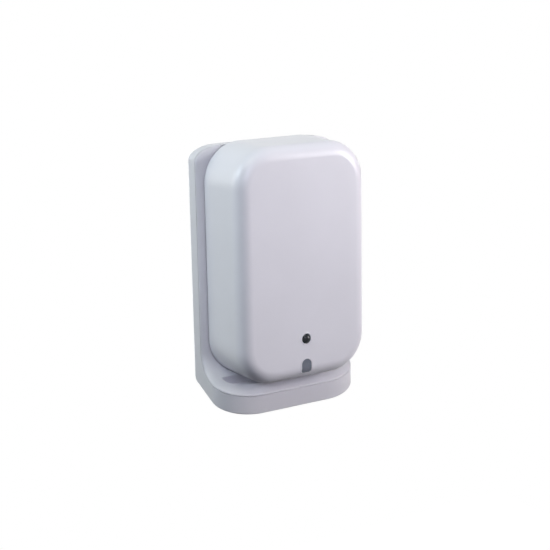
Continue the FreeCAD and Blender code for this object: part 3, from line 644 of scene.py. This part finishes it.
class SENSOR_OT_boards(bpy.types.Operator):
    """Finish the circuit boards, their connectors and the aerials printed on them"""
    bl_idname = "sensor.boards"
    bl_label = "Circuit boards"

    def execute(self, context):
        dress(solder_mask("green_solder_mask"), "radar_board", "main_board", "wireless_module")
        dress(gold_plate("gold_flash"), "antenna_patches", "header_pins")
        dress(glass_nylon("black_nylon_header"), "board_header", "board_socket")
        dress(tin_plate("tin_plated_can"), "module_shield", "crystal")
        foam = closed_cell_foam("black_closed_cell_foam", linear("#26262A"), linear("#141416"),
                                cell=0.6 * mm)
        dress(foam, "light_seal")
        return {"FINISHED"}


class SENSOR_OT_chips(bpy.types.Operator):
    """Finish the chips, the light and the parts of the power supply"""
    bl_idname = "sensor.chips"
    bl_label = "Chips"

    def execute(self, context):
        dress(moulded_epoxy("black_moulded_epoxy"), "radar_chip", "light_sensor_chip", "memory_chip",
              "voltage_regulator", "power_inductor")
        dress(drawn_can("drawn_aluminium_can"), "power_capacitors")
        dress(fired_ceramic("fired_tan_ceramic"), "ceramic_capacitors")
        resin = phosphor_resin("phosphor_and_clear_resin", centre_of("status_led"), radius=1.6 * mm)
        dress(resin, "status_led")
        return {"FINISHED"}


# Stage

def facing(azimuth, elevation):
    """Unit vector from the sensor towards a place turned by azimuth and raised by elevation."""
    level = math.cos(elevation)
    return Vector((math.sin(azimuth) * level, -math.cos(azimuth) * level, math.sin(elevation)))


def add_softbox(settings, name, side, up, spread, power, tint, size=300 * mm):
    """Square lamp behind a grid, from side degrees round and up degrees above.

    It looks at a point a little above the sensor, and the grid keeps its light within an angle of
    spread degrees. Its power is in watts.
    """
    lamp = bpy.data.lights.new(name, "AREA")
    lamp.size = size
    lamp.spread = math.radians(spread)
    lamp.energy = power
    lamp.color = linear(tint)[:3]
    holder = bpy.data.objects.new(name, lamp)
    bpy.context.scene.collection.objects.link(holder)
    direction = facing(math.radians(side), math.radians(up))
    aim = Vector((0.0, centre_of("front_cover")[1], settings.lamp_height))
    holder.location = direction * settings.lamp_distance + aim
    holder.rotation_euler = direction.to_track_quat("Z", "Y").to_euler()


def seen_by_eye(tree):
    """One where the camera, a glossy surface or a clear one sees the background, and zero elsewhere."""
    seen = 0.0
    for ray in ("Is Camera Ray", "Is Glossy Ray", "Is Transmission Ray"):
        seen = add_node(tree, "Math", {"operation": "MAXIMUM"}, in_0=seen,
                        in_1=add_node(tree, "LightPath", out=ray))
    return seen


def make_world():
    """White all round, which the camera and reflections see, and which lights nothing else."""
    world = bpy.data.worlds.new("studio")
    bpy.context.scene.world = world
    world.use_nodes = True
    tree = world.node_tree
    tree.nodes.clear()
    white = add_node(tree, "Background", Color=(1, 1, 1, 1), Strength=seen_by_eye(tree))
    add_node(tree, "OutputWorld", Surface=white)


def make_floor(settings):
    """Plain pale floor well below the sensor, which hangs on its wall.

    It is matt and keeps the sensor's shadow. What the eye sees of it is half lit and half its own white
    under the sensor, and all white further out, where it meets the white background.
    """
    half = 1000 * mm
    reach = 800 * mm
    level = cad_box[0][2] - settings.floor_drop
    material, tree, place = new_material("pale_matt_floor")
    speckle = add_node(tree, "TexNoise", Vector=place, Scale=1 / (6 * mm), Detail=2.0)
    stops = ((0.3, shaded(settings.floor_colour, 0.98)), (0.7, settings.floor_colour))
    matt = add_node(tree, "BsdfDiffuse", Color=add_node(tree, "ValToRGB", {"stops": stops}, Fac=speckle))
    under = add_node(tree, "Mapping", {"vector_type": "TEXTURE"}, Vector=place, Location=(0, 0, level),
                     Scale=(reach, reach, reach))
    near = add_node(tree, "TexGradient", {"gradient_type": "SPHERICAL"}, Vector=under)
    white = add_node(tree, "MapRange", Value=near, From_Max=0.6, To_Min=1.0, To_Max=0.5)
    seen = add_node(tree, "Math", {"operation": "MULTIPLY"}, in_0=seen_by_eye(tree), in_1=white)
    glow = add_node(tree, "Emission", Color=(1, 1, 1, 1), Strength=seen)
    add_node(tree, "OutputMaterial", Surface=add_node(tree, "AddShader", in_0=matt, in_1=glow))
    mesh = bpy.data.meshes.new("floor")
    corners = ((-half, -half, level), (half, -half, level), (half, half, level), (-half, half, level))
    mesh.from_pydata(corners, [], [(0, 1, 2, 3)])
    mesh.materials.append(material)
    floor = bpy.data.objects.new("floor", mesh)
    bpy.context.scene.collection.objects.link(floor)


def make_camera(settings):
    """Camera at the photograph's place: its back points away from its aim, then it is rolled."""
    back = facing(settings.azimuth, settings.elevation)
    level = Vector((math.cos(settings.azimuth), math.sin(settings.azimuth), 0.0))
    upright = back.cross(level)
    right = level * math.cos(settings.roll) + upright * math.sin(settings.roll)
    up = upright * math.cos(settings.roll) - level * math.sin(settings.roll)
    camera = bpy.data.objects.new("camera", bpy.data.cameras.new("camera"))
    bpy.context.scene.collection.objects.link(camera)
    bpy.context.scene.camera = camera
    camera.matrix_world = Matrix((right, up, back)).transposed().to_4x4()
    camera.location = Vector(settings.aim) + back * settings.distance
    camera.data.sensor_width = 36
    camera.data.lens = settings.lens
    camera.data.clip_start = 10 * mm


class SENSOR_OT_stage(bpy.types.Operator):
    """Set the camera, the softboxes, the floor and the white background"""
    bl_idname = "sensor.stage"
    bl_label = "Stage"

    def execute(self, context):
        settings = context.scene.sensor_stage
        context.scene.view_settings.view_transform = "Standard"
        make_world()
        make_floor(settings)
        make_camera(settings)
        add_softbox(settings, "right_softbox", side=50, up=8, spread=70, power=0.468, tint="#FFFAF9")
        add_softbox(settings, "left_softbox", side=-100, up=30, spread=45, power=0.175, tint="#E4F5FB")
        add_softbox(settings, "side_softbox", side=-130, up=10, spread=45, power=0.075, tint="#FDFDF4")
        add_softbox(settings, "upper_softbox", side=-50, up=60, spread=60, power=0.165, tint="#F8FCF0")
        add_softbox(settings, "front_softbox", side=-20, up=20, spread=35, power=0.09, tint="#E1E4FB")
        add_softbox(settings, "back_softbox", side=170, up=-10, spread=70, power=0.32, tint="#FFFFFF")
        add_softbox(settings, "corner_light", side=44, up=-1, spread=60, power=0.012,
                    tint="#FFFFFF", size=30 * mm)
        return {"FINISHED"}


class SENSOR_PT_panel(bpy.types.Panel):
    """Lists the steps of the sensor's finish and their settings"""
    bl_idname = "SENSOR_PT_panel"
    bl_label = "Presence Sensor"
    bl_space_type = "VIEW_3D"
    bl_region_type = "UI"
    bl_category = "Sensor"

    def draw(self, context):
        layout = self.layout
        for operator in operators:
            layout.operator(operator.bl_idname)
        for settings in (context.scene.sensor_finish, context.scene.sensor_stage):
            for name in settings.__annotations__:
                layout.prop(settings, name)


operators = (SENSOR_OT_case, SENSOR_OT_bracket, SENSOR_OT_pads, SENSOR_OT_lens, SENSOR_OT_window,
             SENSOR_OT_button, SENSOR_OT_screws, SENSOR_OT_inlet, SENSOR_OT_boards, SENSOR_OT_chips,
             SENSOR_OT_stage)
classes = (SensorFinish, SensorStage, *operators, SENSOR_PT_panel)


def register():
    """Add the classes and the two groups of settings."""
    for cls in classes:
        bpy.utils.register_class(cls)
    bpy.types.Scene.sensor_finish = bpy.props.PointerProperty(type=SensorFinish)
    bpy.types.Scene.sensor_stage = bpy.props.PointerProperty(type=SensorStage)


def unregister():
    """Remove what register added."""
    del bpy.types.Scene.sensor_stage
    del bpy.types.Scene.sensor_finish
    for cls in reversed(classes):
        bpy.utils.unregister_class(cls)


def main():
    """Register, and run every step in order."""
    register()
    for operator in operators:
        getattr(bpy.ops.sensor, operator.bl_idname.split(".")[1])()


if __name__ == "__main__":
    main()
